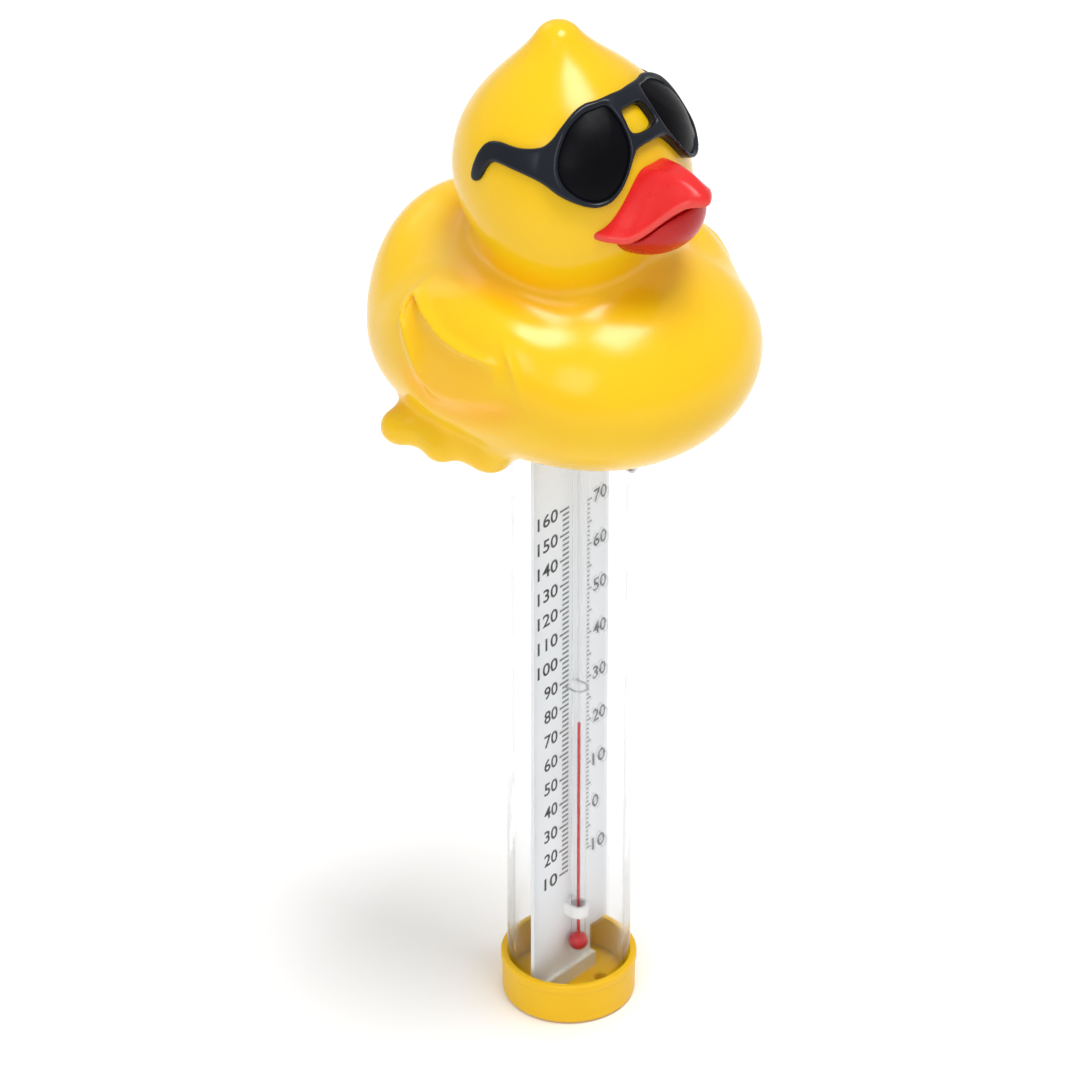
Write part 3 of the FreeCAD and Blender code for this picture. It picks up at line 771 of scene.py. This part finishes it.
def clear_material(name, tint, edge_shade, roughness, index, shares):
    """Clear plastic or glass: see-through face on, with painted shade greying it where it turns away, in
    place of the dark edge lines of refraction, and faint scuffs.
    """
    material, tree, shader, place = new_material(name)
    scuffs = noise(tree, place, 260.0, 4.0, 0.6, stretch=(1.0, 1.0, 0.25))
    haze = noise(tree, place, 60.0, 3.0)
    paler = tuple(1 - 0.55 * (1 - part) for part in tint)
    body = mix_colours(tree, spread(tree, haze, 0.0, 1.0), tint, paler)
    # Painted shade: the colour turns grey towards the edges, where the surface turns away.
    turned_away = tree.nodes.new("ShaderNodeLayerWeight")
    turned_away.inputs["Blend"].default_value = 0.35
    facing = turned_away.outputs["Facing"]
    edge = spread(tree, facing, 0.0, 1.0, 0.45, 0.95)
    tree.links.new(mix_colours(tree, edge, body, edge_shade), shader.inputs["Base Color"])
    tree.links.new(spread(tree, facing, shares[0], shares[1], 0.15, 0.95), shader.inputs["Alpha"])
    tree.links.new(spread(tree, scuffs, roughness[0], roughness[1], 0.4, 0.8), shader.inputs["Roughness"])
    roughen(tree, shader, ((scuffs, 0.01, 0.00003),))
    for socket, value in (("Transmission Weight", 1.0), ("IOR", index), ("Coat Weight", 1.0),
                          ("Coat Roughness", 0.03)):
        shader.inputs[socket].default_value = value
    return material


def vinyl_material():
    """Yellow vinyl with painted shade: orange in its creases, on the wings' dishes and in a band under the
    wings, and a soft skin gloss.
    """
    material, tree, shader, place = new_material("yellow_vinyl")
    drift = noise(tree, place, 30.0, 3.0)
    fine = noise(tree, place, 180.0, 2.0)
    wave = noise(tree, place, 95.0, 2.0)
    yellow = mix_colours(tree, spread(tree, drift, 0.0, 1.0), (0.79, 0.475, 0.004), (0.81, 0.51, 0.006))
    # Painted shade: darker orange in the creases.
    crease = spread(tree, attribute(tree, "crease"), 0.0, 1.0, 0.18, 0.68)
    orange = mix_colours(tree, crease, yellow, (0.89, 0.41, 0.001))
    # Painted shade: darker orange inside the wings' dishes.
    wing = spread(tree, attribute(tree, "wing"), 0.0, 0.5, 0.0, 1.0)
    wing_shaded = mix_colours(tree, wing, orange, (0.84, 0.43, 0.003))
    # Painted shade: a deeper orange band under the wings.
    under_wing_shade = spread(tree, attribute(tree, "under_wing_shade"), 0.0, 0.75, 0.0, 1.0)
    shade_painted = mix_colours(tree, under_wing_shade, wing_shaded, (0.86, 0.40, 0.0))
    tree.links.new(shade_painted, shader.inputs["Base Color"])
    tree.links.new(spread(tree, fine, 0.20, 0.25), shader.inputs["Roughness"])
    roughen(tree, shader, ((wave, 0.03, 0.0006), (fine, 0.02, 0.0001)))
    shader.inputs["Subsurface Weight"].default_value = 0.22
    shader.inputs["Subsurface Radius"].default_value = (1.0, 0.55, 0.1)
    shader.inputs["Subsurface Scale"].default_value = 0.004
    shader.inputs["Specular IOR Level"].default_value = 0.34
    return material


def bill_material(name, colour, shade):
    """Painted red, with a painted highlight as a paler line along the lip."""
    material, tree, shader, place = new_material(name)
    drift = noise(tree, place, 55.0, 3.0)
    fine = noise(tree, place, 420.0, 2.0)
    base = mix_colours(tree, spread(tree, drift, 0.0, 1.0), colour, shade)
    # Painted highlight: a paler line along the lip's edge.
    lip = spread(tree, attribute(tree, "lip"), 0.0, 0.25, 0.0, 1.0)
    tree.links.new(mix_colours(tree, lip, base, (0.95, 0.30, 0.24)), shader.inputs["Base Color"])
    tree.links.new(spread(tree, fine, 0.24, 0.36), shader.inputs["Roughness"])
    roughen(tree, shader, ((drift, 0.04, 0.0006), (fine, 0.012, 0.00006)))
    shader.inputs["Subsurface Weight"].default_value = 0.12
    shader.inputs["Subsurface Radius"].default_value = (1.0, 0.2, 0.1)
    shader.inputs["Subsurface Scale"].default_value = 0.002
    shader.inputs["Specular IOR Level"].default_value = 0.3
    return material


def metal_material(name, colour, shade, roughness):
    """Drawn wire: metal with fine lengthwise streaks."""
    material, tree, shader, place = new_material(name)
    streaks = noise(tree, place, 500.0, 5.0, 0.6, stretch=(1.0, 1.0, 6.0))
    base = mix_colours(tree, spread(tree, streaks, 0.0, 1.0), colour, shade)
    tree.links.new(base, shader.inputs["Base Color"])
    tree.links.new(spread(tree, streaks, roughness[0], roughness[1]), shader.inputs["Roughness"])
    roughen(tree, shader, ((streaks, 0.08, 0.00005),))
    shader.inputs["Metallic"].default_value = 1.0
    return material


def finish_with(piece, material):
    """Give a piece its one material."""
    piece.data.materials.clear()
    piece.data.materials.append(material)


def finish_node(name, material):
    """Swap the material in a CAD node's slots."""
    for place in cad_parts[name].material_slots:
        place.material = material


# ---------------------------------------------------------------- camera, floor and light

CAMERA_DISTANCE = 1.45
CAMERA_TURN = math.radians(-49.0)
CAMERA_RISE = math.radians(32.8)
CAMERA_LENS = 222.33
LOOK_HEIGHT = 0.120
LOOK_SIDE = -0.0065
FLOOR_REACH = 6.0
FLOOR_GAP = 0.0002


def aim(thing, place, target):
    """Place something with its -Z axis towards the target."""
    thing.location = place
    thing.rotation_euler = (Vector(target) - Vector(place)).to_track_quat("-Z", "Y").to_euler()


def make_camera():
    """Camera with a long lens, and the directions to its right and towards it."""
    right = Vector((math.cos(CAMERA_TURN), math.sin(CAMERA_TURN), 0))
    away = Vector((math.sin(CAMERA_TURN) * math.cos(CAMERA_RISE),
                   -math.cos(CAMERA_TURN) * math.cos(CAMERA_RISE), math.sin(CAMERA_RISE)))
    target = Vector((0, 0, LOOK_HEIGHT)) + right * LOOK_SIDE
    data = bpy.data.cameras.new("camera")
    data.lens = CAMERA_LENS
    data.sensor_width = 36.0
    data.dof.use_dof = False
    data.clip_start = 0.05
    camera = bpy.data.objects.new("camera", data)
    bpy.context.scene.collection.objects.link(camera)
    aim(camera, target + away * CAMERA_DISTANCE, target)
    bpy.context.scene.camera = camera
    return right, away


def add_area(name, place, target, size, power):
    """Soft rectangular light, its size in metres and its power in watts."""
    data = bpy.data.lights.new(name, "AREA")
    data.shape = "RECTANGLE"
    data.size, data.size_y = size
    data.energy = power
    light = bpy.data.objects.new(name, data)
    bpy.context.scene.collection.objects.link(light)
    aim(light, place, target)


def make_studio(right, away):
    """White floor, a big soft key overhead to the front, a fill by the camera and a bright sky."""
    mesh = bpy.data.meshes.new("floor")
    corners = [(FLOOR_REACH * x, FLOOR_REACH * y, 0) for x, y in ((-1, -1), (1, -1), (1, 1), (-1, 1))]
    mesh.from_pydata(corners, [], [(0, 1, 2, 3)])
    floor = bpy.data.objects.new("floor", mesh)
    floor.location.z = -FLOOR_GAP
    bpy.context.scene.collection.objects.link(floor)
    material, tree, shader, place = new_material("studio_floor")
    speck = noise(tree, place, 12.0, 2.0)
    pale = mix_colours(tree, speck, (0.93, 0.93, 0.93), (0.95, 0.95, 0.95))
    tree.links.new(pale, shader.inputs["Base Color"])
    shader.inputs["Roughness"].default_value = 0.85
    shader.inputs["Specular IOR Level"].default_value = 0.1
    finish_with(floor, material)
    level = Vector((away.x, away.y, 0)).normalized()
    middle = Vector((0, 0, 0.12))
    add_area("key", middle + right * 0.62 + level * 0.34 + Vector((0, 0, 3.3)), middle, (1.5, 1.2), 79.0)
    add_area("fill", middle + away * 1.7 - right * 0.55 + Vector((0, 0, 0.25)), middle, (0.9, 0.9), 8.0)
    add_area("rim", middle - level * 1.3 - right * 0.9 + Vector((0, 0, 1.2)), middle, (0.8, 0.8), 2.0)
    world = bpy.data.worlds.new("studio")
    world.use_nodes = True
    world.node_tree.nodes["Background"].inputs["Color"].default_value = (1.0, 1.0, 1.0, 1.0)
    world.node_tree.nodes["Background"].inputs["Strength"].default_value = 0.62
    bpy.context.scene.world = world
    bpy.context.scene.view_settings.view_transform = "Standard"


# ---------------------------------------------------------------- the whole scene

vinyl = vinyl_material()
gloss_black = solid_material(
    "gloss_black", (0.006, 0.008, 0.013), (0.009, 0.011, 0.017), (0.18, 0.27), 700.0, 0.03,
    (("Specular IOR Level", 0.24),))
lens_black = solid_material(
    "lens_black", (0.002, 0.002, 0.003), (0.004, 0.004, 0.006), (0.32, 0.42), 500.0, 0.02,
    (("Specular IOR Level", 0.06),))
bill_red = bill_material("bill_red", (0.70, 0.020, 0.020), (0.62, 0.014, 0.014))
mouth_red = bill_material("mouth_red", (0.50, 0.008, 0.008), (0.40, 0.005, 0.006))
cap_yellow = solid_material(
    "cap_yellow", (0.84, 0.50, 0.005), (0.80, 0.46, 0.004), (0.34, 0.5), 900.0, 0.06,
    (("Subsurface Weight", 0.1), ("Subsurface Scale", 0.002), ("Specular IOR Level", 0.3)))
socket_white = solid_material("socket_white", (0.80, 0.80, 0.78), (0.74, 0.74, 0.72), (0.35, 0.5))
foot_white = solid_material("foot_white", (0.80, 0.77, 0.66), (0.72, 0.69, 0.58), (0.4, 0.55))
plug_white = solid_material("plug_white", (0.82, 0.82, 0.80), (0.76, 0.76, 0.74), (0.35, 0.5))
clip_white = solid_material("clip_white", (0.85, 0.85, 0.84), (0.78, 0.78, 0.77), (0.3, 0.45))
card_white = solid_material(
    "card_white", (0.84, 0.86, 0.88), (0.80, 0.82, 0.845), (0.4, 0.55), 1200.0, 0.05)
print_black = solid_material(
    "print_black", (0.012, 0.012, 0.014), (0.03, 0.03, 0.034), (0.45, 0.6), 1500.0, 0.05)
rubber_black = solid_material("rubber_black", (0.02, 0.02, 0.02), (0.03, 0.03, 0.03), (0.55, 0.7))
red_spirit = solid_material(
    "red_spirit", (0.62, 0.008, 0.016), (0.52, 0.005, 0.012), (0.1, 0.2), 900.0, 0.01)
steel = metal_material("eyelet_steel", (0.62, 0.62, 0.64), (0.48, 0.48, 0.50), (0.2, 0.36))
tie_metal = metal_material("tie_metal", (0.55, 0.55, 0.57), (0.42, 0.42, 0.44), (0.25, 0.4))
clear_plastic = clear_material(
    "clear_plastic", (0.91, 0.92, 0.935), (0.66, 0.69, 0.71), (0.0, 0.01), 1.03, (0.15, 0.98))
stem_glass = clear_material(
    "stem_glass", (0.97, 0.98, 0.985), (0.80, 0.82, 0.83), (0.0, 0.01), 1.08, (0.25, 0.95))

duck_skin = make_duck()
finish_with(duck_skin, vinyl)
glasses_frame, lens_right, lens_left = make_glasses()
finish_with(glasses_frame, gloss_black)
finish_with(lens_right, lens_black)
finish_with(lens_left, lens_black)
bill_upper, bill_lower = make_bill()
finish_with(bill_upper, bill_red)
finish_with(bill_lower, mouth_red)
eyelet = make_eyelet()
finish_with(eyelet, steel)
for piece in (duck_skin, glasses_frame, lens_right, lens_left, bill_upper, bill_lower, eyelet):
    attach(piece, "float")

card_print = make_print()
finish_with(card_print, print_black)
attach(card_print, "tube")

spirit_in_bulb = make_bulb()
finish_with(spirit_in_bulb, red_spirit)
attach(spirit_in_bulb, "tube")
spirit_thread = make_thread()
finish_with(spirit_thread, red_spirit)
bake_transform(spirit_thread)

for node, material in (
        ("base_cap", cap_yellow), ("clear_tube", clear_plastic), ("scale_card", card_white),
        ("card_foot", foot_white), ("tube_top_plug", plug_white), ("seal_ring", rubber_black),
        ("glass_stem", stem_glass), ("spirit_meniscus", red_spirit),
        ("lower_stem_clip", clip_white), ("stem_wire_tie", tie_metal), ("float_socket", socket_white)):
    finish_node(node, material)

make_studio(*make_camera())
